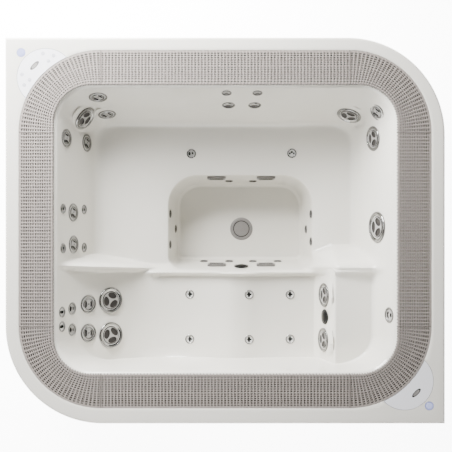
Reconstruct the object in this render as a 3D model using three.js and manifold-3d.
// Acrylic overflow hot tub: a moulded shell with benches, a lounger, a step seat and a footwell, an overflow
// channel behind a perimeter grille, jets, lights, filter and controls, and the cabinet with its frame,
// pumps and pipework. Millimetres, +Z up. The origin lies on the floor under the middle of the rim.
// +X is the long side, +Y the bench side and -Y the lounger side.
import * as THREE from 'three';
import { mergeVertices } from 'three/addons/utils/BufferGeometryUtils.js';
import Module from 'manifold-3d';

// Whole tub
const LENGTH = 2550;
const WIDTH = 2240;
const HEIGHT = 900;
const TUB_CORNER_RADIUS = 565;
const SHELL_THICKNESS = 12;
const CLEARANCE = 0.3;
const OVERRUN = 20;

// Rim, overflow channel and lip
const RIM_SIDE_WIDTH = 79;
const RIM_NORTH_WIDTH = 75;
const RIM_SOUTH_WIDTH = 91;
const RIM_DROP = 62;
const RIM_EDGE_RADIUS = 14;
const LEDGE_WIDTH = 18;
const CHANNEL_DEPTH = 100;
const CHANNEL_DRAFT = 6;
const LIP_WIDTH = 34;
const LIP_CREST_WIDTH = 24;
const LIP_DEPTH = 22;
const LIP_EASE = 12;
const LIP_CORNER_RADIUS = 212;

// Overflow grille
const GRILLE_WIDTH = 205;
const GRILLE_CORNER_RADIUS = 475;
const GRILLE_THICKNESS = 14;
const GRILLE_BORDER_WIDTH = 16;
const GRILLE_SEAM = 2;
const SLOT_PITCH = 57.7;
const SLOT_WIDTH = 29;
const CORNER_SLOT_COUNT = 10;
const CORNER_SLOT_SHARE = 0.5;

// Footwell: plan size and offset as shares of the tub's length and width
const FLOOR_HEIGHT = 65;
const FOOTWELL_DEPTH = HEIGHT - FLOOR_HEIGHT;
const FOOTWELL_SHARES = [0.3592, 0.2647];
const FOOTWELL_OFFSET_SHARES = [0.0369, 0.0205];
const FOOTWELL_LENGTH = LENGTH * FOOTWELL_SHARES[0];
const FOOTWELL_WIDTH = WIDTH * FOOTWELL_SHARES[1];
const FOOTWELL_OFFSET_X = LENGTH * FOOTWELL_OFFSET_SHARES[0];
const FOOTWELL_OFFSET_Y = WIDTH * FOOTWELL_OFFSET_SHARES[1];
const FOOTWELL_RUN = 52;
const FOOTWELL_NORTH_RADIUS = 190;
const FOOTWELL_SOUTH_RADIUS = 80;
const MOUTH_DROP = 30;
const MOUTH_FILLET = 30;
const FLOOR_FILLET = 60;

// Basin walls, benches and step seat, with depths as shares of the footwell's
const BENCH_DEPTH_SHARE = 0.569;
const STEP_SEAT_DEPTH_SHARE = 0.2755;
const BENCH_DEPTH = FOOTWELL_DEPTH * BENCH_DEPTH_SHARE;
const STEP_SEAT_DEPTH = FOOTWELL_DEPTH * STEP_SEAT_DEPTH_SHARE;
const WALL_RUN_SIDE = 183;
const WALL_RUN_NORTH = 171;
const WALL_RUN_SOUTH = 28;
const WALL_EAST_CORNER_RADIUS = 150;
const WALL_WEST_CORNER_RADIUS = 110;
const WALL_FILLET = 60;
const BENCH_DISH = 14;
const BENCH_ROLL = 45;
const ROLL_START_SHARE = 0.35;
const BENCH_FRONT_WIDTH = 106;
const BENCH_FRONT_RADIUS = 60;

// Lounger: its length profile as shares of the half basin length and of the bench depth
const LOUNGER_SHARES = [
  [-1.0, 0.13], [-0.94, 0.32], [-0.86, 0.52], [-0.757, 0.705], [-0.646, 0.853], [-0.545, 0.947],
  [-0.454, 0.998], [-0.333, 1.02], [-0.2, 1.0], [-0.08, 0.947], [0.06, 0.88], [0.13, 0.893],
  [0.232, 0.94], [0.353, 0.973], [0.5, 0.99], [0.7, 0.99],
];
const LOUNGER_DISH = 12;
const LOUNGER_NORTH_SHARE = -0.353;
// Where the ridge beside the lounger begins, and where it has its whole height
const BORDER_START_SHARES = [-0.55, -0.42];
const FOOT_WALL_SHARES = [0.56, 0.675];

// Dividers: crest line shares and crest heights as shares of the bench depth
const LEFT_DIVIDER_SHARES = [
  [-0.994, 0.16], [-0.9, 0.27], [-0.8, 0.41], [-0.7, 0.58], [-0.6, 0.75], [-0.52, 0.88], [-0.46, 1.03],
  [-0.42, 1.2],
];
const LEFT_DIVIDER_LINE_SHARES = [-0.2536, -0.293];
const LEFT_DIVIDER_ROUND = 25;
const RIGHT_DIVIDER_SHARES = [
  [0.5, 1.1], [0.553, 0.86], [0.62, 0.62], [0.69, 0.44], [0.8, 0.41], [0.95, 0.37], [1.0, 0.35],
];
const RIGHT_DIVIDER_LINE_SHARE = -0.279;
const RIGHT_DIVIDER_ROUND = 32;
const DIVIDER_FALL = 3;
const DIVIDER_FILLET = 25;
const BORDER_LINE_SHARE = -0.327;
const BORDER_HALF_WIDTH = 24;
const BORDER_RISE = 38;

// Jets: flange diameters, with places as shares of the half basin sizes
const FLANGE_THICKNESS = 7;
const JET_BARREL_SHARE = 0.62;
const JET_STUB_SHARE = 0.36;
const JET_STUB_LENGTH = 14;
const PETAL_SHARE = 0.4;
const DISC_SHARE = 0.64;
const JET_BODY_LENGTH = 55;
const LARGE_JET_SHARES = [
  [-0.868, 0.814, 150], [-0.72, -0.527, 160], [-0.72, -0.787, 160], [0.766, 0.843, 150],
  [0.906, 0.657, 150], [0.921, 0.015, 186], [0.622, -0.487, 146], [0.622, -0.817, 146],
];
const MEDIUM_JET_SHARES = [
  [-0.76, 0.942, 110], [-0.733, 0.852, 110], [-0.95, 0.647, 110], [-0.863, 0.637, 110],
  [-0.921, 0.12, 110], [-0.921, -0.111, 110], [-0.844, -0.547, 112], [-0.844, -0.758, 112],
];
const WALL_JET_SHARES = [
  [-0.963, 0.144, 60], [-0.873, 0.144, 60], [-0.963, -0.136, 60], [-0.873, -0.136, 60],
  [-0.967, -0.586, 64], [-0.967, -0.688, 64], [-0.923, -0.571, 76], [-0.923, -0.722, 76],
  [0.008, 0.962, 60], [0.191, 0.962, 60], [0.02, 0.898, 78], [0.179, 0.898, 78],
  [0.97, -0.606, 92], [0.911, 0.835, 110],
];
const SEAT_JET_SHARES = [
  [-0.216, 0.571, 60], [0.424, 0.574, 60], [-0.226, -0.494, 58], [-0.226, -0.834, 58],
  [0.15, -0.492, 58], [0.15, -0.83, 58], [0.411, -0.495, 58], [0.411, -0.832, 58],
];

// Footwell fittings: wall station, and depth as a share of the wall from bench to floor
const FOOTWELL_JET_SHARES = [
  [1.63, 0.58], [1.34, 0.58], [5.19, 0.72], [5.41, 0.72], [5.615, 0.72], [5.83, 0.72], [3.17, 0.22],
  [3.47, 0.72], [3.78, 0.22], [7.82, 0.13], [7.52, 0.52], [7.28, 0.13],
];
const FOOTWELL_JET_DIAMETER = 54;
const SUCTION_SHARES = [[1.78, 0.23], [1.19, 0.23], [5.303, 0.31], [5.72, 0.31]];
const SUCTION_WIDTH = 120;
const SUCTION_HEIGHT = 74;
const SUCTION_CORNER_RADIUS = 20;
const SUCTION_THICKNESS = 14;
const SUCTION_BARREL_RADIUS = 24;
const LIGHT_DIAMETER = 92;
const FOOTWELL_LIGHT_SHARES = [5.51, 0.16];
const LOUNGER_LIGHT_SHARES = [0.622, -0.648];
const DRAIN_DIAMETER = 150;
const DRAIN_SHARES = [0.108, 0];
const DRAIN_BARREL_RADIUS = 28;
const DRAIN_BARREL_LENGTH = 40;

// Corner controls and filter
const POD_RADIUS = 168;
const POD_INSET = 157;
const POD_THICKNESS = 6;
const POD_GAP = 2;
const POD_HOUSING_DEPTH = 44;
const POD_HOUSING_INSET = 14;
const POD_BUTTON_RADIUS = 11;
const POD_BUTTON_LENGTH = 9;
const POD_BUTTON_TRAVEL = 1.5;
const POD_BUTTON_SHARES = [
  [-0.1, 0.82], [0.27, 0.745], [0.09, 0.56], [-0.82, 0.1], [-0.745, -0.27], [-0.56, -0.09],
];
const ROUND_BUTTON_RADIUS = 26;
const ROUND_BUTTON_OFFSET = 14;
const ROUND_BUTTON_FLANGE = 5;
const FILTER_OFFSET = 78;
const FILTER_BORE_RADIUS = 50;
const FILTER_WALL = 4;
const FILTER_DEPTH = 380;
const CARTRIDGE_RADIUS = 43;
const CARTRIDGE_CORE_RADIUS = 22;
const CARTRIDGE_LENGTH = 300;

// Pipework
const MAIN_PIPE_RADIUS = 25;
const BRANCH_PIPE_RADIUS = 10;
const UPPER_MAIN_OFFSET = 50;
const UPPER_MAIN_SHARE = 0.478;
const LOWER_MAIN_SHARE = 0.73;
const UPPER_MAIN_HEIGHT = HEIGHT * UPPER_MAIN_SHARE;
const LOWER_MAIN_OFFSET = 118;
const LOWER_MAIN_HEIGHT = (HEIGHT - BENCH_DEPTH) * LOWER_MAIN_SHARE;

// Cabinet, frame and base
const PANEL_INSET = 15;
const PANEL_THICKNESS = 9;
const PANEL_TOP_GAP = 3;
const PANEL_GROOVE_DEPTH = 3;
const PANEL_GROOVE_WIDTH = 8;
const PANEL_GROOVE_SHARES = [0.25, 0.5, 0.75];
const PANEL_JOINT = 2;
const TRAY_THICKNESS = 8;
const TRAY_LIP_HEIGHT = 34;
const TRAY_LIP_WIDTH = 6;
const FRAME_TUBE = 34;
const FRAME_INSET = 38;
const POST_SHARES = [[0, 1], [0, -1], [1, 0], [-1, 0], [0.5, 1], [-0.5, 1], [0.45, -1], [-0.5, -1]];

// Machinery under the benches
const PUMP_RADIUS = 95;
const PUMP_WET_END_RADIUS = 115;
const PUMP_WET_END_LENGTH = 100;
const PUMP_MOTOR_LENGTH = 290;
const PUMP_FOOT_WIDTH = 170;
const PUMP_FOOT_HEIGHT = 40;
const PUMP_ONE_SHARE = 0.5;
const PUMP_TWO_SHARE = 0.05;
const HEATER_RADIUS = 50;
const HEATER_LENGTH = 480;
const HEATER_HEIGHT = 110;
const BLOWER_RADIUS = 95;
const BLOWER_HEIGHT = 190;
const CONTROL_BOX_SIZE = [250, 380, 230];
const CONTROL_BOX_LID = 12;
const TANK_LENGTH = 820;
const TANK_HEIGHT = 300;
const TANK_CORNER_RADIUS = 40;
const DROP_PIPE_RADIUS = 30;

// Round sides: facets of each kind of turned piece
const LARGE_SIDES = 12;
const MEDIUM_SIDES = 10;
const SMALL_SIDES = 8;
const JET_SIDES = 6;
const BARREL_SIDES = 6;
const PIPE_SIDES = 4;
const MAIN_SIDES = 8;
const POD_SIDES = 20;
const CORNER_STEPS = 6;

const UP = new THREE.Vector3(0, 0, 1);
const wasm = await Module();
wasm.setup();

const material = (color, roughness, metalness = 0) =>
  new THREE.MeshStandardMaterial({ color, roughness, metalness });
const MATERIALS = {
  acrylic: material(0xf2f1ef, 0.12),
  grille: material(0xcfc9c5, 0.5),
  plate: material(0xb4b2b4, 0.4),
  button: material(0xa9a7aa, 0.4),
  lens: material(0xa7aedc, 0.15),
  steel: material(0xc9ccd0, 0.22, 1),
  cover: material(0x9da0a4, 0.45),
  lamp: material(0x17181b, 0.08),
  pipe: material(0xdedede, 0.5),
  cabinet: material(0x8b8580, 0.6),
  tray: material(0x2c2d2f, 0.7),
  frame: material(0x9a9fa3, 0.45, 1),
  machine: material(0x303336, 0.5),
  filter: material(0xe9ecef, 0.8),
};

// Outlines: rounded rectangles with one radius per corner, listed NE, NW, SW, SE
function outline(x, y, halfX, halfY, radii, square = [false, false, false, false]) {
  return { x, y, halfX, halfY, radii, square };
}

function inset(shape, distance) {
  const radii = shape.radii.map((radius) => Math.max(radius - distance, CLEARANCE));
  return outline(shape.x, shape.y, shape.halfX - distance, shape.halfY - distance, radii, shape.square);
}

function cornerPoint(shape, corner, share) {
  const signX = corner === 0 || corner === 3 ? 1 : -1;
  const signY = corner < 2 ? 1 : -1;
  const angle = (corner + share) * Math.PI / 2;
  const cos = Math.cos(angle);
  const sin = Math.sin(angle);
  const radius = shape.radii[corner];
  const reach = shape.square[corner] ? radius / Math.max(Math.abs(cos), Math.abs(sin)) : radius;
  return new THREE.Vector2(
    shape.x + signX * (shape.halfX - radius) + reach * cos,
    shape.y + signY * (shape.halfY - radius) + reach * sin,
  );
}

// A station runs round an outline from 0 to 8: even whole numbers start a corner, odd ones a side
function outlinePoint(shape, station) {
  const stretch = Math.floor(station) % 8;
  const share = station - Math.floor(station);
  const corner = Math.floor(stretch / 2);
  if (stretch % 2 === 0) return cornerPoint(shape, corner, share);
  return cornerPoint(shape, corner, 1).lerp(cornerPoint(shape, (corner + 1) % 4, 0), share);
}

function distanceTo(shape, x, y) {
  const px = x - shape.x;
  const py = y - shape.y;
  const radius = shape.radii[px >= 0 ? (py >= 0 ? 0 : 3) : (py >= 0 ? 1 : 2)];
  const qx = Math.abs(px) - shape.halfX + radius;
  const qy = Math.abs(py) - shape.halfY + radius;
  return Math.min(Math.max(qx, qy), 0) + Math.hypot(Math.max(qx, 0), Math.max(qy, 0)) - radius;
}

const fourRadii = (radius) => [radius, radius, radius, radius];
const tubOutline = outline(
  0, 0, LENGTH / 2, WIDTH / 2, fourRadii(TUB_CORNER_RADIUS), [false, true, false, true],
);
const centreY = (RIM_SOUTH_WIDTH - RIM_NORTH_WIDTH) / 2;
const grilleOutline = outline(
  0, centreY, LENGTH / 2 - RIM_SIDE_WIDTH, (WIDTH - RIM_NORTH_WIDTH - RIM_SOUTH_WIDTH) / 2,
  fourRadii(GRILLE_CORNER_RADIUS),
);
const lipOutline = outline(
  0, centreY, grilleOutline.halfX - GRILLE_WIDTH, grilleOutline.halfY - GRILLE_WIDTH,
  fourRadii(LIP_CORNER_RADIUS),
);
const wallFoot = outline(
  0, centreY + (WALL_RUN_SOUTH - WALL_RUN_NORTH) / 2,
  lipOutline.halfX - WALL_RUN_SIDE, lipOutline.halfY - (WALL_RUN_NORTH + WALL_RUN_SOUTH) / 2,
  [WALL_EAST_CORNER_RADIUS, WALL_WEST_CORNER_RADIUS, WALL_WEST_CORNER_RADIUS, WALL_EAST_CORNER_RADIUS],
);
const footwellMouth = outline(
  FOOTWELL_OFFSET_X, centreY + FOOTWELL_OFFSET_Y, FOOTWELL_LENGTH / 2, FOOTWELL_WIDTH / 2,
  [FOOTWELL_NORTH_RADIUS, FOOTWELL_NORTH_RADIUS, FOOTWELL_SOUTH_RADIUS, FOOTWELL_SOUTH_RADIUS],
);
const footwellFloor = inset(footwellMouth, FOOTWELL_RUN);
const basinX = (share) => lipOutline.x + share * lipOutline.halfX;
const basinY = (share) => lipOutline.y + share * lipOutline.halfY;

// Blends used by the basin's surface
const clampShare = (value) => Math.min(Math.max(value, 0), 1);

function smoothStep(low, high, value) {
  const share = clampShare((value - low) / (high - low));
  return share * share * (3 - 2 * share);
}

function shallower(a, b, fillet) {
  const near = Math.max(fillet - Math.abs(a - b), 0) / fillet;
  return Math.min(a, b) - near * near * fillet / 4;
}

const deeper = (a, b, fillet) => -shallower(-a, -b, fillet);
const mix = (a, b, share) => a + (b - a) * share;

// A smooth curve through a table of [place, value] rows, which never swings past its points
function curveThrough(table) {
  const slopes = table.slice(1).map((row, i) => (row[1] - table[i][1]) / (row[0] - table[i][0]));
  const tangents = table.map((row, i) => {
    if (i === 0) return slopes[0];
    if (i === table.length - 1) return slopes[i - 1];
    const product = slopes[i - 1] * slopes[i];
    return product > 0 ? 2 * product / (slopes[i - 1] + slopes[i]) : 0;
  });
  return (place) => {
    const at = Math.min(Math.max(place, table[0][0]), table[table.length - 1][0]);
    const next = Math.min(Math.max(table.findIndex((row) => row[0] > at), 1) || 1, table.length - 1);
    const i = at >= table[table.length - 1][0] ? table.length - 2 : next - 1;
    const span = table[i + 1][0] - table[i][0];
    const t = (at - table[i][0]) / span;
    const square = t * t;
    const cube = square * t;
    return (2 * cube - 3 * square + 1) * table[i][1] + (cube - 2 * square + t) * span * tangents[i]
      + (3 * square - 2 * cube) * table[i + 1][1] + (cube - square) * span * tangents[i + 1];
  };
}

const loungerCurve = curveThrough(LOUNGER_SHARES);
const leftDividerCurve = curveThrough(LEFT_DIVIDER_SHARES);
const rightDividerCurve = curveThrough(RIGHT_DIVIDER_SHARES);

// Depth below the rim of the backrest walls, drawn from the lip down to the bench
function wallDepth(x, y) {
  const inside = Math.max(-distanceTo(lipOutline, x, y), 0);
  const eased = Math.hypot(inside, LIP_EASE) - LIP_EASE;
  const outside = distanceTo(wallFoot, x, y);
  const share = outside > 0 ? eased / (eased + outside) : 1 - outside / WALL_RUN_SIDE;
  return mix(LIP_DEPTH, BENCH_DEPTH, share);
}

// Depth of the bench: a shallow dish that rolls down to the footwell
function benchDepth(x, y) {
  const fromWall = Math.max(-distanceTo(wallFoot, x, y), 0);
  const fromMouth = Math.max(distanceTo(footwellMouth, x, y), 0);
  const across = fromWall / Math.max(fromWall + fromMouth, CLEARANCE);
  const roll = clampShare((across - ROLL_START_SHARE) / (1 - ROLL_START_SHARE));
  return BENCH_DEPTH + BENCH_DISH * 4 * across * (1 - across) + BENCH_ROLL * roll * roll;
}

// Depth of the lounger, its border against the footwell and the step seat at its feet
function loungerDepth(x, y) {
  const along = (x - lipOutline.x) / lipOutline.halfX;
  const south = wallFoot.y - wallFoot.halfY;
  const across = clampShare((y - south) / (basinY(LOUNGER_NORTH_SHARE) - south));
  const trough = BENCH_DEPTH * loungerCurve(along) + LOUNGER_DISH * 4 * across * (1 - across);
  const step = smoothStep(FOOT_WALL_SHARES[0], FOOT_WALL_SHARES[1], along);
  const seated = mix(trough, STEP_SEAT_DEPTH, step);
  const offLine = (y - basinY(BORDER_LINE_SHARE)) / BORDER_HALF_WIDTH;
  const crest = clampShare(1 - offLine * offLine);
  const begun = smoothStep(BORDER_START_SHARES[0], BORDER_START_SHARES[1], along);
  const fade = begun * (1 - smoothStep(FOOT_WALL_SHARES[0], FOOT_WALL_SHARES[1], along));
  return seated - BORDER_RISE * crest * crest * fade;
}

// Depth of a divider's rounded crest, falling away on both sides of its line
function dividerDepth(crestDepth, offLine, round) {
  return crestDepth + DIVIDER_FALL * (Math.hypot(offLine, round) - round);
}

function footwellDepth(x, y) {
  const inside = -distanceTo(footwellMouth, x, y);
  const outside = distanceTo(footwellFloor, x, y);
  let share = inside / FOOTWELL_RUN;
  if (inside > 0 && outside > 0) share = inside / (inside + outside);
  if (inside > 0 && outside <= 0) share = 1 - outside / FOOTWELL_RUN;
  return mix(BENCH_DEPTH + MOUTH_DROP, FOOTWELL_DEPTH, share);
}

// Height of the basin's moulded surface above the floor, before the flat jet seats
function mouldedHeight(x, y) {
  const along = (x - lipOutline.x) / lipOutline.halfX;
  const borderY = basinY(BORDER_LINE_SHARE);
  const zone = smoothStep(
    borderY + BORDER_HALF_WIDTH / 2, borderY + BORDER_HALF_WIDTH * 2.5, y,
  );
  const seats = mix(loungerDepth(x, y), benchDepth(x, y), zone);
  let depth = shallower(wallDepth(x, y), seats, WALL_FILLET);
  if (along < LEFT_DIVIDER_SHARES[LEFT_DIVIDER_SHARES.length - 1][0]) {
    const run = (along - LEFT_DIVIDER_SHARES[0][0]) * 2;
    const line = basinY(mix(LEFT_DIVIDER_LINE_SHARES[0], LEFT_DIVIDER_LINE_SHARES[1], run));
    const crest = BENCH_DEPTH * leftDividerCurve(along);
    depth = shallower(depth, dividerDepth(crest, y - line, LEFT_DIVIDER_ROUND), DIVIDER_FILLET);
  }
  if (along > RIGHT_DIVIDER_SHARES[0][0]) {
    const line = basinY(RIGHT_DIVIDER_LINE_SHARE);
    const crest = BENCH_DEPTH * rightDividerCurve(along);
    depth = shallower(depth, dividerDepth(crest, y - line, RIGHT_DIVIDER_ROUND), DIVIDER_FILLET);
  }
  const well = shallower(footwellDepth(x, y), FOOTWELL_DEPTH, FLOOR_FILLET);
  return HEIGHT - deeper(depth, well, MOUTH_FILLET);
}

function slopeNormal(heightAt, x, y, step) {
  const slopeX = (heightAt(x + step, y) - heightAt(x - step, y)) / (2 * step);
  const slopeY = (heightAt(x, y + step) - heightAt(x, y - step)) / (2 * step);
  return new THREE.Vector3(-slopeX, -slopeY, 1).normalize();
}

// Flat seats moulded into the walls under the large and medium jets. A seat is flat to the first share of
// its jet's radius, and has blended into the wall at the second.
const FLAT_SEAT_SHARES = [1.08, 1.5];
const flatSeats = [...LARGE_JET_SHARES, ...MEDIUM_JET_SHARES].map(([shareX, shareY, diameter]) => {
  const x = basinX(shareX);
  const y = basinY(shareY);
  const centre = new THREE.Vector3(x, y, mouldedHeight(x, y));
  return { centre, radius: diameter / 2, normal: slopeNormal(mouldedHeight, x, y, diameter / 8) };
});

function surfaceHeight(x, y) {
  let height = mouldedHeight(x, y);
  const spot = new THREE.Vector3(x, y, height);
  for (const { centre, radius, normal } of flatSeats) {
    const offset = spot.clone().sub(centre);
    const above = offset.dot(normal);
    const away = offset.addScaledVector(normal, -above).length();
    const share = 1 - smoothStep(radius * FLAT_SEAT_SHARES[0], radius * FLAT_SEAT_SHARES[1], away);
    const flat = centre.z - (normal.x * (x - centre.x) + normal.y * (y - centre.y)) / normal.z;
    height = mix(height, flat, share);
  }
  return height;
}

// Mesh helpers
function closed(geometry) {
  const bare = geometry.clone();
  bare.deleteAttribute('normal');
  bare.deleteAttribute('uv');
  const merged = mergeVertices(bare);
  const index = Array.from(merged.index.array);
  const kept = [];
  for (let i = 0; i < index.length; i += 3) {
    const [a, b, c] = index.slice(i, i + 3);
    if (a !== b && b !== c && c !== a) kept.push(a, b, c);
  }
  merged.setIndex(kept);
  return volumeOf(merged) < 0 ? flipped(merged) : merged;
}

function volumeOf(geometry) {
  const position = geometry.attributes.position;
  const corners = [new THREE.Vector3(), new THREE.Vector3(), new THREE.Vector3()];
  let sum = 0;
  for (let i = 0; i < geometry.index.count; i += 3) {
    corners.forEach((corner, k) => corner.fromBufferAttribute(position, geometry.index.getX(i + k)));
    sum += corners[0].dot(corners[1].clone().cross(corners[2]));
  }
  return sum / 6;
}

function flipped(geometry) {
  const index = Array.from(geometry.index.array);
  for (let i = 0; i < index.length; i += 3) [index[i], index[i + 1]] = [index[i + 1], index[i]];
  geometry.setIndex(index);
  return geometry;
}

function solidOf(geometry) {
  const merged = closed(geometry);
  return new wasm.Manifold(new wasm.Mesh({
    numProp: 3,
    vertProperties: new Float32Array(merged.attributes.position.array),
    triVerts: new Uint32Array(merged.index.array),
  }));
}

function geometryOf(solid) {
  const mesh = solid.getMesh();
  const geometry = new THREE.BufferGeometry();
  geometry.setAttribute('position', new THREE.BufferAttribute(new Float32Array(mesh.vertProperties), 3));
  geometry.setIndex(new THREE.BufferAttribute(new Uint32Array(mesh.triVerts), 1));
  return geometry;
}

const joined = (solids) => solids.reduce((sum, solid) => sum.add(solid));

// A turned piece round +Z from [radius, height] points
function turned(points, sides) {
  const profile = points.map(([radius, height]) => new THREE.Vector2(radius, height));
  const geometry = new THREE.LatheGeometry(profile, sides);
  geometry.rotateX(Math.PI / 2);
  geometry.rotateZ(Math.PI / sides);
  return closed(geometry);
}

function extruded(shape, low, high) {
  const settings = { depth: high - low, bevelEnabled: false, curveSegments: 3 };
  const geometry = new THREE.ExtrudeGeometry(shape, settings);
  geometry.translate(0, 0, low);
  return closed(geometry);
}

function block(sizeX, sizeY, sizeZ, x, y, low) {
  const geometry = new THREE.BoxGeometry(sizeX, sizeY, sizeZ);
  geometry.translate(x, y, low + sizeZ / 2);
  return closed(geometry);
}

function outlineStations(steps) {
  const stations = [];
  for (let corner = 0; corner < 4; corner += 1) {
    for (let step = 0; step <= steps; step += 1) {
      stations.push(corner * 2 + Math.min(step / steps, 0.999999));
    }
  }
  return stations;
}

// A square corner has one point, a round one a point for each step
function outlinePoints(shape, steps) {
  const rounded = outlineStations(steps).filter((station) => !shape.square[Math.floor(station / 2)]);
  const squared = [0, 1, 2, 3].filter((corner) => shape.square[corner]).map((corner) => corner * 2 + 0.5);
  return [...rounded, ...squared].sort((a, b) => a - b).map((station) => outlinePoint(shape, station));
}

const outlineShape = (shape, steps = CORNER_STEPS) => new THREE.Shape(outlinePoints(shape, steps));

function ringShape(outer, inner) {
  const shape = outlineShape(outer);
  shape.holes.push(new THREE.Path(outlinePoints(inner, CORNER_STEPS)));
  return shape;
}

function seatTransform(seat, lift = 0) {
  const origin = seat.centre.clone().addScaledVector(seat.normal, lift);
  const turn = new THREE.Quaternion().setFromUnitVectors(UP, seat.normal);
  return new THREE.Matrix4().compose(origin, turn, new THREE.Vector3(1, 1, 1));
}

const placedAt = (geometry, matrix) => geometry.clone().applyMatrix4(matrix);

function straightPipe(from, to, radius, sides) {
  const run = to.clone().sub(from);
  const geometry = new THREE.CylinderGeometry(radius, radius, run.length(), sides);
  geometry.rotateX(Math.PI / 2);
  const turn = new THREE.Quaternion().setFromUnitVectors(UP, run.clone().normalize());
  geometry.applyQuaternion(turn);
  geometry.translate((from.x + to.x) / 2, (from.y + to.y) / 2, (from.z + to.z) / 2);
  return geometry;
}

// Stretches of spokes: [station at the lip, at the wall's foot, at the bench front, at the mouth, spokes].
// Single spokes follow the dividers' crests and the edges of the wall at the lounger's feet.
const SPOKE_SHARES = [
  [0, 0, 0, 0, CORNER_STEPS], [1, 1, 1, 1, 6], [2, 2, 2, 2, CORNER_STEPS], [3, 3, 3, 3, 4],
  [3.634, 3.544, 3.93, 4.1, 1], [3.67, 3.622, 4.29, 4.45, 1], [3.73, 3.68, 4.5, 4.6, 2],
  [4, 4, 4.7, 4.75, CORNER_STEPS], [5, 5, 5, 5, 8], [5.856, 5.924, 6, 6.1, 1],
  [5.929, 6.047, 6.7, 6.4, 1], [6, 6.12, 6.72, 6.41, CORNER_STEPS], [7, 7, 6.75, 6.42, 2],
  [7.277, 7.323, 6.78, 6.44, 1], [7.313, 7.362, 6.8, 6.46, 1], [7.41, 7.465, 7.17, 6.9, 4],
  [8, 8, 8, 8, 0],
];

function spokeList() {
  const spokes = [];
  for (let row = 0; row < SPOKE_SHARES.length - 1; row += 1) {
    const [lip, wall, front, mouth, count] = SPOKE_SHARES[row];
    const [nextLip, nextWall, nextFront, nextMouth] = SPOKE_SHARES[row + 1];
    for (let i = 0; i < count; i += 1) {
      const share = i / count;
      spokes.push({
        lip: mix(lip, nextLip, share),
        wall: mix(wall, nextWall, share),
        front: mix(front, nextFront, share),
        mouth: mix(mouth, nextMouth, share),
      });
    }
  }
  return spokes;
}

const spokes = spokeList();
const benchFront = outline(
  footwellMouth.x, footwellMouth.y + BENCH_FRONT_WIDTH / 8, footwellMouth.halfX + BENCH_FRONT_WIDTH,
  footwellMouth.halfY + BENCH_FRONT_WIDTH * 0.6, fourRadii(BENCH_FRONT_RADIUS + FOOTWELL_SOUTH_RADIUS / 2),
);
const WALL_RING_SHARES = [0.14, 0.42, 0.76];
const BENCH_RING_SHARES = [0, 0.5, 1];
const ROLL_RING_SHARES = [0.5, 1];
const FOOTWELL_RING_SHARES = [0.3, 0.92];

// The basin's rings, each one a list of plan points, from the lip to the middle of the footwell
function basinRings() {
  const ring = (outer, outerKey, inner, innerKey, share) => spokes.map((spoke) =>
    outlinePoint(outer, spoke[outerKey]).lerp(outlinePoint(inner, spoke[innerKey]), share));
  return [
    ring(lipOutline, 'lip', lipOutline, 'lip', 0),
    ...WALL_RING_SHARES.map((share) => ring(lipOutline, 'lip', wallFoot, 'wall', share)),
    ...BENCH_RING_SHARES.map((share) => ring(wallFoot, 'wall', benchFront, 'front', share)),
    ...ROLL_RING_SHARES.map((share) => ring(benchFront, 'front', footwellMouth, 'mouth', share)),
    ...FOOTWELL_RING_SHARES.map((share) => ring(footwellMouth, 'mouth', footwellFloor, 'mouth', share)),
    ring(inset(footwellFloor, FOOTWELL_RUN), 'mouth', footwellFloor, 'mouth', 0),
  ];
}

// Faces between rings, split along the same diagonal whichever way they face
function ringFaces(rings, flip) {
  const faces = [];
  for (let r = 0; r < rings.length - 1; r += 1) {
    for (let i = 0; i < rings[r].length; i += 1) {
      const j = (i + 1) % rings[r].length;
      const [a, b, c, d] = [rings[r][i], rings[r][j], rings[r + 1][j], rings[r + 1][i]];
      faces.push(flip ? [a, c, b] : [a, b, c], flip ? [a, d, c] : [a, c, d]);
    }
  }
  return faces;
}

function fanFaces(ring, centre, flip) {
  return ring.map((point, i) => {
    const next = ring[(i + 1) % ring.length];
    return flip ? [next, point, centre] : [point, next, centre];
  });
}

// The basin's upper sheet and, one shell thickness behind it, the under sheet
const onSurface = ({ x, y }) => new THREE.Vector3(x, y, surfaceHeight(x, y));
const basinTop = basinRings().map((ring) => ring.map(onSurface));
const basinCentre = new THREE.Vector3(footwellFloor.x, footwellFloor.y, HEIGHT - FOOTWELL_DEPTH);
const basinFaces = [
  ...ringFaces(basinTop, false), ...fanFaces(basinTop[basinTop.length - 1], basinCentre, false),
];

function sheetNormals(faces) {
  const normals = new Map();
  for (const face of faces) {
    const normal = new THREE.Triangle(...face).getNormal(new THREE.Vector3());
    for (const point of face) {
      if (!normals.has(point)) normals.set(point, []);
      normals.get(point).push(normal);
    }
  }
  return normals;
}

function underSheet(rings) {
  const normals = sheetNormals(basinFaces);
  return rings.map((ring) => ring.map((point) => {
    const around = normals.get(point);
    const mean = around.reduce((sum, normal) => sum.add(normal), new THREE.Vector3()).normalize();
    const open = Math.max(Math.min(...around.map((normal) => normal.dot(mean))), 0.6);
    return point.clone().addScaledVector(mean, -SHELL_THICKNESS / open);
  }));
}

const ledgeZ = HEIGHT - GRILLE_THICKNESS - 2 * CLEARANCE;
const channelZ = ledgeZ - CHANNEL_DEPTH;

const liftTo = (points, height) => points.map((point) => new THREE.Vector3(point.x, point.y, height));
const spokeRing = (shape, height) => liftTo(spokes.map((spoke) => outlinePoint(shape, spoke.lip)), height);
const rimRing = (shape, height) =>
  liftTo(outlineStations(CORNER_STEPS).map((station) => outlinePoint(shape, station)), height);

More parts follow.
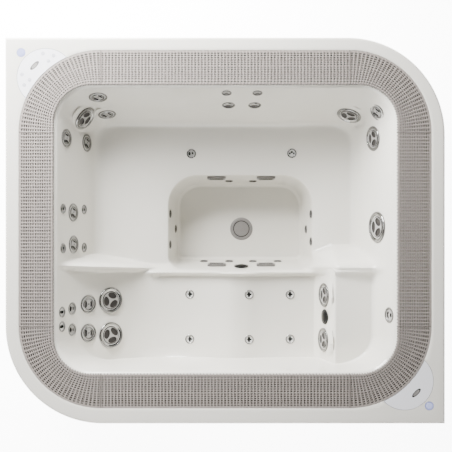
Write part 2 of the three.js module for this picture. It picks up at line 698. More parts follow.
// The rim and overflow channel: one sheet folded over the edge, the ledge and the channel, up to the lip
function rimSolid() {
  const channelOuter = LEDGE_WIDTH + CHANNEL_DRAFT;
  const lipOuter = LIP_WIDTH + CHANNEL_DRAFT;
  const under = SHELL_THICKNESS;
  const rings = [
    rimRing(tubOutline, HEIGHT - RIM_DROP),
    rimRing(tubOutline, HEIGHT - RIM_EDGE_RADIUS),
    rimRing(inset(tubOutline, RIM_EDGE_RADIUS / 3), HEIGHT - RIM_EDGE_RADIUS / 3),
    rimRing(inset(tubOutline, RIM_EDGE_RADIUS), HEIGHT),
    rimRing(grilleOutline, HEIGHT),
    rimRing(grilleOutline, ledgeZ),
    rimRing(inset(grilleOutline, LEDGE_WIDTH), ledgeZ),
    rimRing(inset(grilleOutline, channelOuter), channelZ),
    rimRing(inset(lipOutline, -lipOuter), channelZ),
    rimRing(inset(lipOutline, -LIP_WIDTH), ledgeZ),
    rimRing(inset(lipOutline, -LIP_WIDTH / 2), ledgeZ),
    rimRing(inset(lipOutline, -LIP_WIDTH / 2), channelZ - under),
    rimRing(inset(grilleOutline, channelOuter - under), channelZ - under),
    rimRing(inset(grilleOutline, LEDGE_WIDTH - under), ledgeZ - under),
    rimRing(inset(grilleOutline, -under), ledgeZ - under),
    rimRing(inset(grilleOutline, -under), HEIGHT - under),
    rimRing(inset(tubOutline, under), HEIGHT - under),
    rimRing(inset(tubOutline, under), HEIGHT - RIM_DROP),
  ];
  const faces = ringFaces([...rings, rings[0]], false);
  return solidOf(new THREE.BufferGeometry().setFromPoints(faces.flat()));
}

// The basin inside the lip, from the lip's crest down to the footwell floor. It joins the channel's wall at
// a share of the lip's width.
const LIP_JOIN_SHARE = 0.7;

function basinSolid() {
  const crest = LIP_WIDTH - LIP_CREST_WIDTH;
  const join = LIP_WIDTH * LIP_JOIN_SHARE;
  const top = [
    spokeRing(inset(lipOutline, -join), ledgeZ), spokeRing(inset(lipOutline, -crest), ledgeZ), ...basinTop,
  ];
  const under = underSheet(basinTop);
  const centreUnder = basinCentre.clone();
  centreUnder.z -= SHELL_THICKNESS;
  const fold = spokeRing(inset(lipOutline, -join), ledgeZ - SHELL_THICKNESS);
  const faces = [
    ...ringFaces(top, false), ...fanFaces(basinTop[basinTop.length - 1], basinCentre, false),
    ...ringFaces([top[0], fold, ...under], true), ...fanFaces(under[under.length - 1], centreUnder, true),
  ];
  return solidOf(new THREE.BufferGeometry().setFromPoints(faces.flat()));
}

// Where a round fitting seats: on the moulded surface, lifted clear of the sheet around it
const SEAT_PROBES = 24;
const PROBE_RING_SHARES = [0, 0.6, 1];

function liftedSeat(centre, normal, radius) {
  const turn = new THREE.Quaternion().setFromUnitVectors(UP, normal);
  const inward = normal.clone().negate();
  const reach = radius * 4;
  let lift = -reach;
  for (const point of basinFaces.flat()) {
    const offset = point.clone().sub(centre);
    const above = offset.dot(normal);
    const away = offset.addScaledVector(normal, -above).length();
    if (away < radius && Math.abs(above) < radius / 4) lift = Math.max(lift, above);
  }
  for (const share of PROBE_RING_SHARES) {
    for (let i = 0; i < (share > 0 ? SEAT_PROBES : 1); i += 1) {
      const angle = i * 2 * Math.PI / SEAT_PROBES;
      const spot = new THREE.Vector3(Math.cos(angle), Math.sin(angle), 0).multiplyScalar(radius * share);
      const from = spot.applyQuaternion(turn).add(centre).addScaledVector(normal, reach);
      const ray = new THREE.Ray(from, inward);
      const hits = basinFaces.map((face) => ray.intersectTriangle(...face, false, new THREE.Vector3()));
      const distances = hits.filter((hit) => hit).map((hit) => hit.distanceTo(from));
      if (distances.length) lift = Math.max(lift, reach - Math.min(...distances));
    }
  }
  return { centre: centre.clone().addScaledVector(normal, lift + CLEARANCE), normal, radius };
}

function basinSeat([shareX, shareY, diameter]) {
  const x = basinX(shareX);
  const y = basinY(shareY);
  const centre = new THREE.Vector3(x, y, surfaceHeight(x, y));
  return liftedSeat(centre, slopeNormal(surfaceHeight, x, y, diameter / 8), diameter / 2);
}

function footwellSeat([station, share], radius) {
  const outer = outlinePoint(footwellMouth, station);
  const inner = outlinePoint(footwellFloor, station);
  const place = outer.clone().lerp(inner, share);
  const middle = outer.clone().lerp(inner, 0.5);
  const depth = mix(BENCH_DEPTH + MOUTH_DROP, FOOTWELL_DEPTH, share);
  const normal = slopeNormal(surfaceHeight, middle.x, middle.y, FOOTWELL_RUN / 8);
  return liftedSeat(new THREE.Vector3(place.x, place.y, HEIGHT - depth), normal, radius);
}

const largeSeats = LARGE_JET_SHARES.map(basinSeat);
const mediumSeats = MEDIUM_JET_SHARES.map(basinSeat);
const wallSeats = WALL_JET_SHARES.map(basinSeat);
const seatSeats = SEAT_JET_SHARES.map(basinSeat);
const footwellSeats = FOOTWELL_JET_SHARES.map((row) => footwellSeat(row, FOOTWELL_JET_DIAMETER / 2));
const suctionSeats = SUCTION_SHARES.map((row) => footwellSeat(row, SUCTION_WIDTH / 2));
const lightSeats = [
  footwellSeat(FOOTWELL_LIGHT_SHARES, LIGHT_DIAMETER / 2),
  basinSeat([...LOUNGER_LIGHT_SHARES, LIGHT_DIAMETER]),
];
const drainSeat = basinSeat([...DRAIN_SHARES, DRAIN_DIAMETER]);

// Jets: a body behind the shell, and a flange and nozzle in front of it
const stubRadius = (seat) => seat.radius * JET_STUB_SHARE;
const barrelRadius = (seat) => seat.radius * JET_BARREL_SHARE;

function jetBody(seat) {
  const radius = barrelRadius(seat);
  const socket = (stubRadius(seat) + CLEARANCE) / Math.cos(Math.PI / BARREL_SIDES);
  return turned([
    [0, -JET_BODY_LENGTH], [radius, -JET_BODY_LENGTH], [radius, -CLEARANCE], [socket, -CLEARANCE],
    [socket, -JET_STUB_LENGTH - CLEARANCE], [0, -JET_STUB_LENGTH - CLEARANCE],
  ], BARREL_SIDES);
}

// A small fixed jet: its flange, bonded onto the shell
function fixedJet(seat) {
  return turned([
    [0, -SHELL_THICKNESS / 2], [seat.radius, -SHELL_THICKNESS / 2], [seat.radius, FLANGE_THICKNESS * 0.6],
    [0, FLANGE_THICKNESS * 0.6],
  ], JET_SIDES);
}

function turningFace(seat, sides) {
  const radius = seat.radius;
  const stub = stubRadius(seat);
  const thick = FLANGE_THICKNESS;
  return turned([
    [0, -JET_STUB_LENGTH], [stub, -JET_STUB_LENGTH], [stub, 0], [radius, 0], [radius, thick * 0.5],
    [radius * 0.84, thick], [radius * DISC_SHARE, thick * 0.3], [radius * PETAL_SHARE, thick * 0.8],
    [0, thick * 0.95],
  ], sides);
}

// A large jet's rotor: three petals are sunk in the disc, which leaves a three-armed web between them
const ROTOR_PETALS = 3;
const PIT_SHARE = 0.2;

function rotorFace(seat) {
  const geometry = turningFace(seat, ROTOR_PETALS * 4);
  const position = geometry.attributes.position;
  for (let i = 0; i < position.count; i += 1) {
    const away = Math.hypot(position.getX(i), position.getY(i));
    const turn = Math.atan2(position.getY(i), position.getX(i)) / (2 * Math.PI) + 1;
    const onDisc = Math.abs(away - seat.radius * PETAL_SHARE) < CLEARANCE && position.getZ(i) > 0;
    if (onDisc && (turn * ROTOR_PETALS) % 1 < 0.5) position.setZ(i, FLANGE_THICKNESS * PIT_SHARE);
  }
  return geometry;
}

// Pipework: a ring main with a branch to each jet body
function ringMain(shape, height) {
  const points = outlineStations(2).map((station) => outlinePoint(shape, station));
  const rings = points.map((point, i) => {
    const before = points[(i + points.length - 1) % points.length];
    const after = points[(i + 1) % points.length];
    const into = point.clone().sub(before).normalize();
    const out = after.clone().sub(point).normalize();
    const side = new THREE.Vector2(into.y + out.y, -into.x - out.x).normalize();
    const mitre = 1 / side.dot(new THREE.Vector2(into.y, -into.x));
    return Array.from({ length: MAIN_SIDES }, (unused, k) => {
      const angle = (k + 0.5) * 2 * Math.PI / MAIN_SIDES;
      const across = MAIN_PIPE_RADIUS * Math.cos(angle) * mitre;
      return new THREE.Vector3(
        point.x + side.x * across, point.y + side.y * across, height + MAIN_PIPE_RADIUS * Math.sin(angle),
      );
    });
  });
  const faces = [];
  rings.forEach((ring, i) => {
    const next = rings[(i + 1) % rings.length];
    ring.forEach((corner, k) => {
      const l = (k + 1) % MAIN_SIDES;
      faces.push(corner, next[k], next[l], corner, next[l], ring[l]);
    });
  });
  return solidOf(new THREE.BufferGeometry().setFromPoints(faces));
}

function nearestOn(shape, height, place) {
  const stations = outlineStations(2);
  let best = null;
  stations.forEach((station, i) => {
    const a = outlinePoint(shape, station);
    const b = outlinePoint(shape, stations[(i + 1) % stations.length]);
    const run = b.clone().sub(a);
    const share = clampShare(new THREE.Vector2(place.x, place.y).sub(a).dot(run) / run.lengthSq());
    const spot = a.addScaledVector(run, share);
    const far = spot.distanceTo(place);
    if (!best || far < best.far) best = { far, spot };
  });
  return new THREE.Vector3(best.spot.x, best.spot.y, height);
}

function manifold(mainShape, height, bodies) {
  const parts = [ringMain(mainShape, height)];
  for (const { seat, geometry, reach } of bodies) {
    const matrix = seatTransform(seat);
    const rear = new THREE.Vector3(0, 0, -reach).applyMatrix4(matrix);
    const main = nearestOn(mainShape, height, rear);
    parts.push(solidOf(placedAt(geometry, matrix)));
    parts.push(solidOf(straightPipe(rear, main, BRANCH_PIPE_RADIUS, PIPE_SIDES)));
  }
  return joined(parts);
}

// The socket behind a suction cover's barrel
function suctionSocket() {
  const near = -JET_BODY_LENGTH - CLEARANCE;
  const far = near - 2 * BRANCH_PIPE_RADIUS;
  const radius = SUCTION_BARREL_RADIUS;
  return turned([[0, far], [radius, far], [radius, near], [0, near]], BARREL_SIDES);
}

const upperMain = inset(lipOutline, -UPPER_MAIN_OFFSET);
const lowerMain = inset(footwellMouth, -LOWER_MAIN_OFFSET);
const jetBodies = [...largeSeats, ...mediumSeats].map((seat) => ({
  seat, geometry: jetBody(seat), reach: JET_BODY_LENGTH - BRANCH_PIPE_RADIUS,
}));
const suctionBodies = suctionSeats.map((seat) => ({
  seat, geometry: suctionSocket(), reach: JET_BODY_LENGTH + BRANCH_PIPE_RADIUS,
}));

// The hole through the shell for a fitting's barrel
function bore(seat, barrel) {
  const low = -JET_BODY_LENGTH - CLEARANCE;
  const radius = barrel + 2 * CLEARANCE;
  const cutter = turned([[0, low], [radius, low], [radius, OVERRUN], [0, OVERRUN]], BARREL_SIDES);
  return solidOf(placedAt(cutter, seatTransform(seat)));
}

const podCentres = {
  control: new THREE.Vector2(
    grilleOutline.x - grilleOutline.halfX + POD_INSET, grilleOutline.y + grilleOutline.halfY - POD_INSET,
  ),
  filter: new THREE.Vector2(
    grilleOutline.x + grilleOutline.halfX - POD_INSET, grilleOutline.y - grilleOutline.halfY + POD_INSET,
  ),
};
const podZ = HEIGHT - POD_THICKNESS - 2 * CLEARANCE;
const filterCentre = outlinePoint(inset(grilleOutline, -FILTER_OFFSET), 6.5);
const roundButtonPlaces = {
  round_button_nw: new THREE.Vector2(
    RIM_SIDE_WIDTH + ROUND_BUTTON_OFFSET - LENGTH / 2, WIDTH / 2 - RIM_NORTH_WIDTH - ROUND_BUTTON_OFFSET,
  ),
  round_button_se: new THREE.Vector2(
    LENGTH / 2 - RIM_SIDE_WIDTH - ROUND_BUTTON_OFFSET, RIM_SOUTH_WIDTH + ROUND_BUTTON_OFFSET - WIDTH / 2,
  ),
};

function upright(radius, low, high, x, y, sides) {
  const geometry = turned([[0, low], [radius, low], [radius, high], [0, high]], sides);
  geometry.translate(x, y, 0);
  return geometry;
}

// A disc with the grille's corner taken out of it
function crescent(centre, radius, gap, low, high) {
  const disc = solidOf(upright(radius, low, high, centre.x, centre.y, POD_SIDES));
  const shape = outlineShape(inset(grilleOutline, -gap), 8);
  const grille = solidOf(extruded(shape, low - OVERRUN, high + OVERRUN));
  return disc.subtract(grille);
}

function shellSolid() {
  const fixed = [...wallSeats, ...seatSeats, ...footwellSeats].map((seat) =>
    solidOf(placedAt(fixedJet(seat), seatTransform(seat))));
  const cutters = [
    ...[...largeSeats, ...mediumSeats, ...lightSeats].map((seat) => bore(seat, barrelRadius(seat))),
    ...suctionSeats.map((seat) => bore(seat, SUCTION_BARREL_RADIUS)),
    bore(drainSeat, DRAIN_BARREL_RADIUS),
    ...Object.values(podCentres).map((centre) =>
      crescent(centre, POD_RADIUS + CLEARANCE, -OVERRUN / 4, podZ, HEIGHT + OVERRUN)),
    crescent(
      podCentres.control, POD_RADIUS - POD_HOUSING_INSET + CLEARANCE, SHELL_THICKNESS + CLEARANCE,
      HEIGHT - RIM_DROP, HEIGHT,
    ),
    solidOf(upright(
      FILTER_BORE_RADIUS, HEIGHT - RIM_DROP, HEIGHT, filterCentre.x, filterCentre.y, LARGE_SIDES,
    )),
    ...Object.values(roundButtonPlaces).map((place) => solidOf(upright(
      ROUND_BUTTON_RADIUS + CLEARANCE, HEIGHT - RIM_DROP, HEIGHT + OVERRUN, place.x, place.y, LARGE_SIDES,
    ))),
    solidOf(upright(
      DROP_PIPE_RADIUS + CLEARANCE, channelZ - OVERRUN, ledgeZ, dropPipe.x, dropPipe.y, MEDIUM_SIDES,
    )),
  ];
  const whole = joined([rimSolid(), basinSolid(), ...fixed]);
  return cutters.reduce((shell, cutter) => shell.subtract(cutter), whole);
}

// Overflow grille: bars that run from a border on the ledge inward over the lip
const grilleInner = inset(lipOutline, -CLEARANCE * 6);
const grilleOuter = inset(grilleOutline, CLEARANCE * 3);
const grilleLow = ledgeZ + CLEARANCE;
const grilleHigh = HEIGHT - CLEARANCE;

function straightGrille(halfLength, inner, outer) {
  const border = outer - GRILLE_BORDER_WIDTH;
  const count = Math.floor((2 * halfLength - SLOT_WIDTH) / SLOT_PITCH);
  const first = -(count - 1) / 2 * SLOT_PITCH;
  const points = [[-halfLength, outer], [-halfLength, inner]];
  for (let i = 0; i < count; i += 1) {
    const centre = first + i * SLOT_PITCH;
    points.push([centre - SLOT_WIDTH / 2, inner], [centre - SLOT_WIDTH / 2, border]);
    points.push([centre + SLOT_WIDTH / 2, border], [centre + SLOT_WIDTH / 2, inner]);
  }
  points.push([halfLength, inner], [halfLength, outer]);
  return extruded(new THREE.Shape(points.map(([x, y]) => new THREE.Vector2(x, y))), grilleLow, grilleHigh);
}

// The point where a ray from a corner's arc centre meets an outline
function rayHit(shape, origin, angle) {
  const direction = new THREE.Vector2(Math.cos(angle), Math.sin(angle));
  const point = origin.clone();
  for (let i = 0; i < 60; i += 1) point.addScaledVector(direction, -distanceTo(shape, point.x, point.y));
  return point;
}

function cornerGrille(corner) {
  const start = cornerPoint(grilleOutline, corner, 0);
  const end = cornerPoint(grilleOutline, corner, 1);
  const centre = corner % 2 === 0 ? new THREE.Vector2(end.x, start.y) : new THREE.Vector2(start.x, end.y);
  const seam = GRILLE_SEAM / GRILLE_CORNER_RADIUS;
  const angleAt = (share) => corner * Math.PI / 2 + seam + share * (Math.PI / 2 - 2 * seam);
  const border = (angle) => new THREE.Vector2(Math.cos(angle), Math.sin(angle))
    .multiplyScalar(GRILLE_CORNER_RADIUS - GRILLE_BORDER_WIDTH).add(centre);
  const outer = Array.from({ length: CORNER_STEPS + 1 }, (unused, i) =>
    cornerPoint(grilleOuter, corner, i / CORNER_STEPS));
  const seamShare = seam * CORNER_STEPS * 2 / Math.PI;
  const first = outer[0].clone().lerp(outer[1], seamShare);
  const last = outer[CORNER_STEPS].clone().lerp(outer[CORNER_STEPS - 1], seamShare);
  const inner = [rayHit(grilleInner, centre, angleAt(0))];
  for (let i = 0; i < CORNER_SLOT_COUNT; i += 1) {
    const low = angleAt((i + CORNER_SLOT_SHARE / 2) / CORNER_SLOT_COUNT);
    const high = angleAt((i + 1 - CORNER_SLOT_SHARE / 2) / CORNER_SLOT_COUNT);
    inner.push(rayHit(grilleInner, centre, low), border(low));
    inner.push(border(high), rayHit(grilleInner, centre, high));
  }
  inner.push(rayHit(grilleInner, centre, angleAt(1)));
  return extruded(
    new THREE.Shape([first, ...outer.slice(1, -1), last, ...inner.reverse()]), grilleLow, grilleHigh,
  );
}

// The group that holds every named piece
const tub = new THREE.Group();

function piece(name, geometry, look, parent = tub) {
  const mesh = new THREE.Mesh(geometry, look);
  mesh.name = name;
  parent.add(mesh);
  return mesh;
}

function seatedPiece(name, geometry, look, seat, lift = 0) {
  const mesh = piece(name, geometry, look);
  mesh.position.copy(seat.centre).addScaledVector(seat.normal, lift);
  mesh.quaternion.setFromUnitVectors(UP, seat.normal);
  return mesh;
}

// Machinery, placed in the space under the benches
const floorZ = TRAY_THICKNESS + CLEARANCE;
const dropPipe = new THREE.Vector2(
  0, grilleOutline.y + grilleOutline.halfY - GRILLE_WIDTH / 2 + CHANNEL_DRAFT,
);
const tankNorth = dropPipe.y + DROP_PIPE_RADIUS * 1.3;
const tankSouth = lowerMain.y + lowerMain.halfY + MAIN_PIPE_RADIUS * 4;

function lyingCylinder(radius, from, to, y, z, sides) {
  return straightPipe(new THREE.Vector3(from, y, z), new THREE.Vector3(to, y, z), radius, sides);
}

// A pump: wet end and motor on one shaft, with feet and an outlet pipe that rises from the wet end
function pumpSolid(wetX, y, towards) {
  const z = floorZ + PUMP_WET_END_RADIUS + PUMP_FOOT_HEIGHT / 4;
  const half = PUMP_WET_END_LENGTH / 2;
  const motorEnd = wetX + towards * (half + PUMP_MOTOR_LENGTH);
  const footX = wetX + towards * (half + PUMP_MOTOR_LENGTH / 2);
  return joined([
    solidOf(lyingCylinder(PUMP_WET_END_RADIUS, wetX - half, wetX + half, y, z, LARGE_SIDES)),
    solidOf(lyingCylinder(PUMP_RADIUS, wetX, motorEnd, y, z, LARGE_SIDES)),
    solidOf(lyingCylinder(MAIN_PIPE_RADIUS, wetX, wetX - towards * half * 1.7, y, z, MAIN_SIDES)),
    solidOf(block(PUMP_MOTOR_LENGTH * 0.7, PUMP_FOOT_WIDTH, PUMP_FOOT_HEIGHT, footX, y, floorZ)),
    solidOf(block(PUMP_MOTOR_LENGTH * 0.5, PUMP_FOOT_WIDTH / 3, z - floorZ, footX, y, floorZ)),
  ]);
}

function pumpTo(wetX, y, towards, mainHeight, sideways) {
  const z = floorZ + PUMP_WET_END_RADIUS + PUMP_FOOT_HEIGHT / 4;
  const inner = MAIN_PIPE_RADIUS * Math.cos(Math.PI / MAIN_SIDES);
  const low = new THREE.Vector3(wetX, y, z);
  const parts = [pumpSolid(wetX, y, towards)];
  if (sideways) {
    const bend = new THREE.Vector3(wetX, y, mainHeight);
    const mainX = lowerMain.x - lowerMain.halfX - inner - CLEARANCE;
    const top = bend.clone().setZ(mainHeight + inner);
    parts.push(solidOf(straightPipe(low, top, MAIN_PIPE_RADIUS, MAIN_SIDES)));
    parts.push(solidOf(straightPipe(bend, bend.clone().setX(mainX), MAIN_PIPE_RADIUS, MAIN_SIDES)));
  } else {
    const top = new THREE.Vector3(wetX, y, mainHeight - inner - CLEARANCE);
    parts.push(solidOf(straightPipe(low, top, MAIN_PIPE_RADIUS, MAIN_SIDES)));
  }
  return joined(parts);
}

function heaterSolid() {
  const y = (wallFoot.y - wallFoot.halfY + lowerMain.y - lowerMain.halfY) / 2;
  const half = HEATER_LENGTH / 2;
  const feet = [-1, 1].map((side) =>
    solidOf(block(HEATER_RADIUS, HEATER_RADIUS, HEATER_HEIGHT - floorZ, side * half * 0.6, y, floorZ)));
  return joined([
    solidOf(lyingCylinder(HEATER_RADIUS, -half, half, y, HEATER_HEIGHT, MEDIUM_SIDES)),
    solidOf(lyingCylinder(MAIN_PIPE_RADIUS, -half - HEATER_RADIUS, half + HEATER_RADIUS, y, HEATER_HEIGHT,
      MAIN_SIDES)),
    ...feet,
  ]);
}

function blowerGeometry() {
  const x = basinX(FOOT_WALL_SHARES[1]);
  const y = (wallFoot.y - wallFoot.halfY + lowerMain.y - lowerMain.halfY) / 2;
  const geometry = turned([
    [0, floorZ], [BLOWER_RADIUS, floorZ], [BLOWER_RADIUS, floorZ + BLOWER_HEIGHT * 0.6],
    [BLOWER_RADIUS * 0.7, floorZ + BLOWER_HEIGHT * 0.75],
    [BLOWER_RADIUS * 0.3, floorZ + BLOWER_HEIGHT * 0.75],
    [BLOWER_RADIUS * 0.3, floorZ + BLOWER_HEIGHT], [0, floorZ + BLOWER_HEIGHT],
  ], LARGE_SIDES);
  geometry.translate(x, y, 0);
  return geometry;
}

function controlBoxSolid() {
  const [sizeX, sizeY, sizeZ] = CONTROL_BOX_SIZE;
  const x = lowerMain.x + lowerMain.halfX + MAIN_PIPE_RADIUS * 3 + sizeX / 2;
  const lidX = sizeX + CONTROL_BOX_LID;
  const lidY = sizeY + CONTROL_BOX_LID;
  return solidOf(block(sizeX, sizeY, sizeZ, x, lowerMain.y, floorZ))
    .add(solidOf(block(lidX, lidY, CONTROL_BOX_LID * 2, x, lowerMain.y, floorZ + sizeZ - CONTROL_BOX_LID)));
}

function tankSolid() {
  const tank = outline(
    0, (tankNorth + tankSouth) / 2, TANK_LENGTH / 2, (tankNorth - tankSouth) / 2,
    fourRadii(TANK_CORNER_RADIUS),
  );
  const pipe = upright(
    DROP_PIPE_RADIUS, floorZ + TANK_HEIGHT / 2, channelZ + CLEARANCE, dropPipe.x, dropPipe.y, MEDIUM_SIDES,
  );
  return solidOf(extruded(outlineShape(tank, 2), floorZ, floorZ + TANK_HEIGHT)).add(solidOf(pipe));
}

// Frame: a ring of square tube on the tray, one under the rim, and the posts between them
function frameSolid() {
  const outer = inset(tubOutline, FRAME_INSET);
  const inner = inset(tubOutline, FRAME_INSET + FRAME_TUBE);
  const ring = ringShape(outer, inner);
  const topZ = ledgeZ - SHELL_THICKNESS - CLEARANCE;
  const reach = FRAME_INSET + FRAME_TUBE / 2;
  const straightX = LENGTH / 2 - TUB_CORNER_RADIUS;
  const posts = POST_SHARES.map(([shareX, shareY]) => {
    const x = Math.abs(shareX) === 1 ? shareX * (LENGTH / 2 - reach) : shareX * 2 * straightX;
    const y = Math.abs(shareY) === 1 ? shareY * (WIDTH / 2 - reach) : 0;
    return solidOf(block(FRAME_TUBE, FRAME_TUBE, topZ - floorZ, x, y, floorZ));
  });
  return joined([
    solidOf(extruded(ring, floorZ, floorZ + FRAME_TUBE)),
    solidOf(extruded(ring, topZ - FRAME_TUBE, topZ)),
    ...posts,
  ]);
}

// Base tray with an upstand inside the panels and two bearers under the footwell
function traySolid() {
  const outer = inset(tubOutline, PANEL_INSET + PANEL_THICKNESS + CLEARANCE);
  const lip = ringShape(outer, inset(outer, TRAY_LIP_WIDTH));
  const bearerHeight = HEIGHT - FOOTWELL_DEPTH - SHELL_THICKNESS - CLEARANCE * 4;
  const bearers = [-1, 1].map((side) => solidOf(block(
    FRAME_TUBE, footwellFloor.halfY, bearerHeight, footwellFloor.x + side * footwellFloor.halfX / 2,
    footwellFloor.y, 0,
  )));
  return joined([
    solidOf(extruded(outlineShape(outer), 0, TRAY_THICKNESS)),
    solidOf(extruded(lip, 0, TRAY_LIP_HEIGHT)),
    ...bearers,
  ]);
}

// Cabinet panels: a grooved board that follows a run of the tub's outline
const panelOuter = inset(tubOutline, PANEL_INSET);
const panelLow = CLEARANCE;
const panelHigh = HEIGHT - RIM_DROP - PANEL_TOP_GAP;

function panelProfile() {
  const points = [[PANEL_THICKNESS, panelLow], [0, panelLow]];
  for (const share of PANEL_GROOVE_SHARES) {
    const middle = mix(panelLow, panelHigh, share);
    points.push([0, middle - PANEL_GROOVE_WIDTH / 2], [PANEL_GROOVE_DEPTH, middle]);
    points.push([0, middle + PANEL_GROOVE_WIDTH / 2]);
  }
  points.push([0, panelHigh], [PANEL_THICKNESS, panelHigh]);
  return points;
}

function panelAlong(stations) {
  const profile = panelProfile();
  const rows = stations.map((station) => profile.map(([depth, height]) => {
    const point = outlinePoint(inset(panelOuter, depth), station);
    return new THREE.Vector3(point.x, point.y, height);
  }));
  const faces = [];
  for (let s = 0; s < rows.length - 1; s += 1) {
    profile.forEach((unused, k) => {
      const l = (k + 1) % profile.length;
      faces.push(rows[s][k], rows[s + 1][k], rows[s + 1][l], rows[s][k], rows[s + 1][l], rows[s][l]);
    });
  }
  const flat = profile.map(([depth, height]) => new THREE.Vector2(depth, height));
  const last = rows[rows.length - 1];
  for (const corners of THREE.ShapeUtils.triangulateShape(flat, [])) {
    const sameWay = THREE.ShapeUtils.area(corners.map((k) => flat[k])) * THREE.ShapeUtils.area(flat) > 0;
    const [a, b, c] = sameWay ? corners : corners.toReversed();
    faces.push(rows[0][a], rows[0][b], rows[0][c], last[c], last[b], last[a]);
  }
  return closed(new THREE.BufferGeometry().setFromPoints(faces));
}

const cornerStations = (corner) => Array.from({ length: CORNER_STEPS + 1 }, (unused, i) =>
  corner * 2 + Math.min(i / CORNER_STEPS, 0.999999));
const jointShare = PANEL_JOINT / (WIDTH - TUB_CORNER_RADIUS);

// Round fittings on the footwell walls and floor
const barrelOf = (radius, length) =>
  turned([[0, -length], [radius, -length], [radius, CLEARANCE], [0, CLEARANCE]], BARREL_SIDES);

function lensPiece(seat) {
  const radius = seat.radius;
  const barrel = barrelRadius(seat);
  const front = turned([
    [0, 0], [radius, 0], [radius, FLANGE_THICKNESS * 0.6], [radius * 0.86, FLANGE_THICKNESS],
    [radius * 0.72, FLANGE_THICKNESS * 0.6], [0, FLANGE_THICKNESS],
  ], LARGE_SIDES);
  return geometryOf(solidOf(front).add(solidOf(barrelOf(barrel, JET_BODY_LENGTH))));
}

function drainPiece(seat) {
  const radius = seat.radius;
  const cover = turned([
    [0, 0], [radius, 0], [radius * 0.93, FLANGE_THICKNESS], [radius * 0.72, FLANGE_THICKNESS * 1.3],
    [radius * 0.66, FLANGE_THICKNESS * 0.6], [radius * 0.58, FLANGE_THICKNESS * 1.5],
    [0, FLANGE_THICKNESS * 1.9],
  ], LARGE_SIDES);
  return geometryOf(solidOf(cover).add(solidOf(barrelOf(DRAIN_BARREL_RADIUS, DRAIN_BARREL_LENGTH))));
}

function suctionCover() {
  const plate = outline(0, 0, SUCTION_WIDTH / 2, SUCTION_HEIGHT / 2, fourRadii(SUCTION_CORNER_RADIUS));
  const crown = inset(plate, SUCTION_THICKNESS / 2);
  return geometryOf(joined([
    solidOf(extruded(outlineShape(plate, 1), 0, SUCTION_THICKNESS * 0.6)),
    solidOf(extruded(outlineShape(crown, 1), SUCTION_THICKNESS * 0.3, SUCTION_THICKNESS)),
    solidOf(barrelOf(SUCTION_BARREL_RADIUS, JET_BODY_LENGTH)),
  ]));
}

// Corner controls
function controlPod() {
  const centre = podCentres.control;
  const low = podZ + CLEARANCE;
  const high = HEIGHT - CLEARANCE;
  const plate = crescent(centre, POD_RADIUS, POD_GAP, low, high);
  const housing = crescent(
    centre, POD_RADIUS - POD_HOUSING_INSET, SHELL_THICKNESS + 2 * CLEARANCE, HEIGHT - POD_HOUSING_DEPTH,
    low + POD_THICKNESS / 2,
  );
  const pocketZ = high - POD_BUTTON_LENGTH - POD_BUTTON_TRAVEL - CLEARANCE;
  const pockets = podButtonPlaces().map((place) =>
    solidOf(upright(
      POD_BUTTON_RADIUS + CLEARANCE, pocketZ, HEIGHT + OVERRUN, place.x, place.y, SMALL_SIDES,
    )));
  return pockets.reduce((pod, pocket) => pod.subtract(pocket), plate.add(housing));
}

function podButtonPlaces() {
  const centre = podCentres.control;
  return POD_BUTTON_SHARES.map(([shareX, shareY]) =>
    new THREE.Vector2(centre.x + shareX * POD_RADIUS, centre.y + shareY * POD_RADIUS));
}

function podButton() {
  const high = -CLEARANCE;
  const low = high - POD_BUTTON_LENGTH;
  return turned([[0, low], [POD_BUTTON_RADIUS, low], [POD_BUTTON_RADIUS, high], [0, high]], SMALL_SIDES);
}

function roundButton() {
  const flangeHigh = -SHELL_THICKNESS - CLEARANCE;
  const flange = ROUND_BUTTON_RADIUS + ROUND_BUTTON_FLANGE;
  const rise = CLEARANCE * 5;
  return turned([
    [0, flangeHigh - ROUND_BUTTON_FLANGE], [flange, flangeHigh - ROUND_BUTTON_FLANGE], [flange, flangeHigh],
    [ROUND_BUTTON_RADIUS, flangeHigh], [ROUND_BUTTON_RADIUS, -CLEARANCE - rise],
    [ROUND_BUTTON_RADIUS * 0.8, -CLEARANCE], [0, -CLEARANCE],
  ], LARGE_SIDES);
}

// Filter: a canister under the rim, and a pleated cartridge that hangs from the lid
function canisterGeometry() {
  const high = HEIGHT - SHELL_THICKNESS - CLEARANCE;
  const low = high - FILTER_DEPTH;
  const outer = FILTER_BORE_RADIUS + FILTER_WALL;
  const flange = outer + FILTER_WALL * 2;
  return turned([
    [0, low], [outer, low], [outer, high - FILTER_WALL * 2],
    [flange, high - FILTER_WALL * 2], [flange, high],
    [FILTER_BORE_RADIUS, high], [FILTER_BORE_RADIUS, low + FILTER_WALL], [0, low + FILTER_WALL],
  ], LARGE_SIDES);
}

const PLEATS = 14;

function cartridgeGeometry() {
  const points = Array.from({ length: PLEATS * 2 }, (unused, i) => {
    const radius = i % 2 === 0 ? CARTRIDGE_RADIUS : CARTRIDGE_RADIUS * 0.84;
    const angle = i * Math.PI / PLEATS;
    return new THREE.Vector2(radius * Math.cos(angle), radius * Math.sin(angle));
  });
  const shape = new THREE.Shape(points);
  const core = new THREE.Path();
  core.absarc(0, 0, CARTRIDGE_CORE_RADIUS, 0, Math.PI * 2, true);
  shape.holes.push(core);
  return extruded(shape, podZ - CARTRIDGE_LENGTH, podZ);
}

// Assembly
piece('shell', geometryOf(shellSolid()), MATERIALS.acrylic);

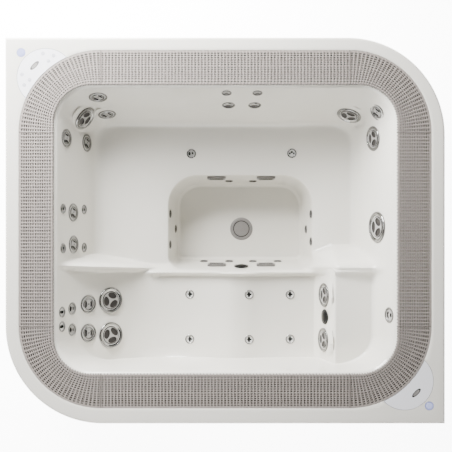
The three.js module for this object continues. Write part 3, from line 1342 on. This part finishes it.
const sideX = grilleOutline.halfX - GRILLE_CORNER_RADIUS - GRILLE_SEAM / 2;
const sideY = grilleOutline.halfY - GRILLE_CORNER_RADIUS - GRILLE_SEAM / 2;
const GRILLE_SIDES = [
  ['grille_north', sideX, 'halfY', 0], ['grille_west', sideY, 'halfX', 1],
  ['grille_south', sideX, 'halfY', 2], ['grille_east', sideY, 'halfX', 3],
];
for (const [name, halfLength, axis, turns] of GRILLE_SIDES) {
  const segment = straightGrille(halfLength, grilleInner[axis], grilleOuter[axis]);
  const mesh = piece(name, segment, MATERIALS.grille);
  mesh.position.set(grilleOutline.x, grilleOutline.y, 0);
  mesh.rotation.z = turns * Math.PI / 2;
}
['ne', 'nw', 'sw', 'se'].forEach((name, corner) => {
  piece(`grille_corner_${name}`, cornerGrille(corner), MATERIALS.grille);
});

piece('control_pod', geometryOf(controlPod()), MATERIALS.plate);
podButtonPlaces().forEach((place, i) => {
  piece(`pod_button_${i + 1}`, podButton(), MATERIALS.button).position.set(place.x, place.y, HEIGHT);
});
for (const [name, place] of Object.entries(roundButtonPlaces)) {
  piece(name, roundButton(), MATERIALS.lens).position.set(place.x, place.y, HEIGHT);
}

const lid = crescent(podCentres.filter, POD_RADIUS, POD_GAP, podZ + CLEARANCE, HEIGHT - CLEARANCE);
piece('filter_lid', geometryOf(lid), MATERIALS.plate);
const cartridge = piece('filter_cartridge', cartridgeGeometry(), MATERIALS.filter);
cartridge.position.set(filterCentre.x, filterCentre.y, 0);
piece('filter_canister', canisterGeometry(), MATERIALS.pipe).position.set(filterCentre.x, filterCentre.y, 0);

largeSeats.forEach((seat, i) => {
  seatedPiece(`rotor_jet_${i + 1}`, rotorFace(seat), MATERIALS.steel, seat);
});
mediumSeats.forEach((seat, i) => {
  seatedPiece(`jet_face_${i + 1}`, turningFace(seat, SMALL_SIDES), MATERIALS.steel, seat);
});
suctionSeats.forEach((seat, i) => {
  seatedPiece(`suction_cover_${i + 1}`, suctionCover(), MATERIALS.cover, seat);
});
lightSeats.forEach((seat, i) => {
  seatedPiece(`light_lens_${i + 1}`, lensPiece(seat), MATERIALS.lamp, seat);
});
seatedPiece('floor_drain', drainPiece(drainSeat), MATERIALS.cover, drainSeat);
piece('upper_manifold', geometryOf(manifold(upperMain, UPPER_MAIN_HEIGHT, jetBodies)), MATERIALS.steel);
piece('lower_manifold', geometryOf(manifold(lowerMain, LOWER_MAIN_HEIGHT, suctionBodies)), MATERIALS.steel);

piece('base_tray', geometryOf(traySolid()), MATERIALS.tray);
piece('frame', geometryOf(frameSolid()), MATERIALS.frame);
const PANELS = [
  ['panel_north', [1 + jointShare, 2.5 - jointShare]],
  ['service_panel_west', [2.5 + jointShare, 4 - jointShare]],
  ['panel_corner_sw', cornerStations(2)],
  ['panel_south', [5 + jointShare, 6.5 - jointShare]],
  ['panel_east', [6.5 + jointShare, 8 - jointShare]],
  ['panel_corner_ne', cornerStations(0)],
];
for (const [name, stations] of PANELS) piece(name, panelAlong(stations), MATERIALS.cabinet);

const pumpOneX = upperMain.x - upperMain.halfX;
const pumpTwoX = lowerMain.x - lowerMain.halfX - PUMP_WET_END_RADIUS;
const pumpOne = pumpTo(pumpOneX, basinY(PUMP_ONE_SHARE), 1, UPPER_MAIN_HEIGHT, false);
const pumpTwo = pumpTo(pumpTwoX, basinY(PUMP_TWO_SHARE), -1, LOWER_MAIN_HEIGHT, true);
piece('pump_1', geometryOf(pumpOne), MATERIALS.machine);
piece('pump_2', geometryOf(pumpTwo), MATERIALS.machine);
piece('heater', geometryOf(heaterSolid()), MATERIALS.steel);
piece('air_blower', blowerGeometry(), MATERIALS.machine);
piece('control_box', geometryOf(controlBoxSolid()), MATERIALS.machine);
piece('buffer_tank', geometryOf(tankSolid()), MATERIALS.pipe);

export default tub;
